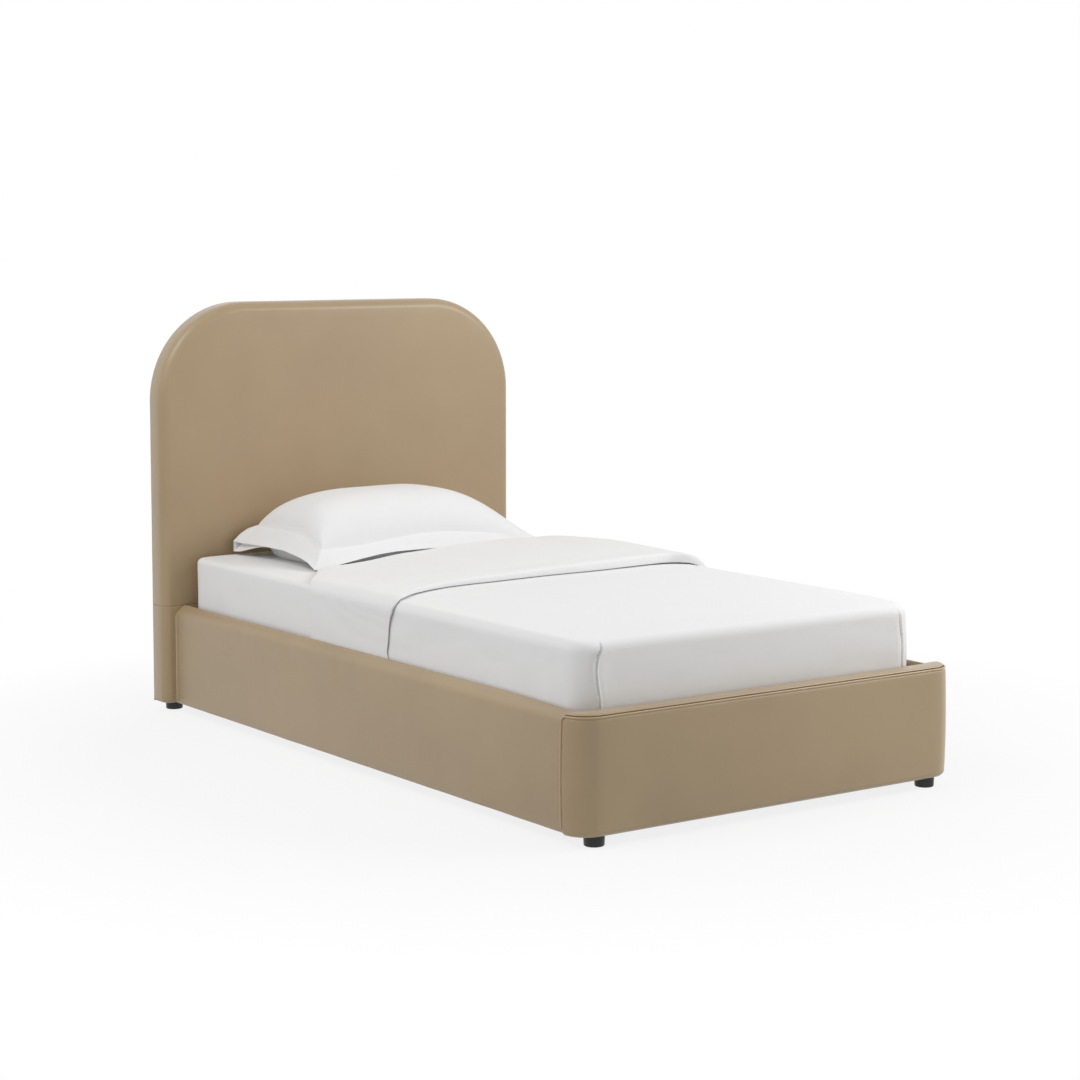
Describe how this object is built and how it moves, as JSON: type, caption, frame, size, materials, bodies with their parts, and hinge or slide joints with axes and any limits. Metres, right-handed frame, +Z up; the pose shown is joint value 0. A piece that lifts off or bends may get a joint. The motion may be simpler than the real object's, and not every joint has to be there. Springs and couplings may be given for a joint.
{
  "type": "single bed",
  "caption": "Single bed with padded side rails, a round-cornered footboard and a tall arched headboard, made up with mattress, fitted sheet, folded duvet and flanged pillow.",
  "frame": {"origin": "on the floor, under the middle of the bed", "axes": "+Z up, +Y towards the headboard, +X towards the right-hand side rail seen from the foot"},
  "size_m": [1.216, 2.076, 1.185],
  "materials": {
    "upholstery": "smooth camel leatherette with a soft sheen",
    "welt": "camel leatherette rolled over a cord",
    "foam": "open-cell foam, bare",
    "back_cloth": "black non-woven dust cloth",
    "plywood": "sanded plywood",
    "timber": "planed pine",
    "slat_wood": "planed birch",
    "bracket_steel": "black powder coat",
    "zinc_steel": "zinc plated",
    "insert_brass": "plain",
    "black_plastic": "moulded, fine satin",
    "webbing": "woven tape",
    "mattress_ticking": "woven ticking",
    "sheet_cotton": "smooth white cotton",
    "duvet_cotton": "smooth white cotton over a thin filling",
    "pillow_ticking": "down-proof cotton",
    "case_cotton": "smooth white cotton"
  },
  "bodies": {
    "frame": {"bolt_inserts": "insert_brass", "centre_legs": "timber", "centre_rail": "timber", "centre_rail_hangers": "bracket_steel", "corner_brackets": "bracket_steel", "foot_front_left": "black_plastic", "foot_front_right": "black_plastic", "foot_rear_left": "black_plastic", "foot_rear_right": "black_plastic", "foot_screws": "zinc_steel", "footboard_back_panel": "plywood", "footboard_batten_bottom": "timber", "footboard_batten_top": "timber", "footboard_bolts": "zinc_steel", "footboard_centre_post": "timber", "footboard_corner_formers": "plywood", "footboard_cover": "upholstery", "footboard_end_posts": "timber", "footboard_foam": "foam", "footboard_front_panel": "plywood", "footboard_seam_welts": "welt", "footboard_top_welt": "welt", "hanger_screws": "zinc_steel", "headboard_arch_blocks": "plywood", "headboard_back_cloth": "back_cloth", "headboard_batten_bottom": "timber", "headboard_batten_middle": "timber", "headboard_batten_seam": "timber", "headboard_batten_top": "timber", "headboard_bolts": "zinc_steel", "headboard_cover_lower": "upholstery", "headboard_cover_upper": "upholstery", "headboard_foam_lower": "foam", "headboard_foam_upper": "foam", "headboard_panel_lower": "plywood", "headboard_panel_upper": "plywood", "headboard_posts": "timber", "headboard_spacers": "timber", "ledger_screws": "zinc_steel", "leg_studs": "zinc_steel", "rail_board_left": "plywood", "rail_board_right": "plywood", "rail_bolts": "zinc_steel", "rail_cover_left": "upholstery", "rail_cover_right": "upholstery", "rail_foam_left": "foam", "rail_foam_right": "foam", "slat_ledger_left": "timber", "slat_ledger_right": "timber", "slat_webbing": "webbing", "slats": "slat_wood"},
    "mattress": {"mattress": "mattress_ticking", "fitted_sheet": "sheet_cotton", "duvet": "duvet_cotton"},
    "pillow": {"pillow": "pillow_ticking", "pillow_case": "case_cotton"},
    "levelling_foot_foot": {"levelling_foot_foot": "black_plastic"},
    "levelling_foot_head": {"levelling_foot_head": "black_plastic"}
  },
  "joints": [
    {"name": "mattress_lift", "type": "slide", "parent": "frame", "child": "mattress", "axis": [0, 0, 1], "range_m": [0, 0.3]},
    {"name": "pillow_lift", "type": "slide", "parent": "mattress", "child": "pillow", "axis": [0, 0, 1], "range_m": [0, 0.3]},
    {"name": "levelling_foot_foot_travel", "type": "slide", "parent": "frame", "child": "levelling_foot_foot", "axis": [0, 0, 1], "range_m": [0, 0.008]},
    {"name": "levelling_foot_head_travel", "type": "slide", "parent": "frame", "child": "levelling_foot_head", "axis": [0, 0, 1], "range_m": [0, 0.008]}
  ]
}
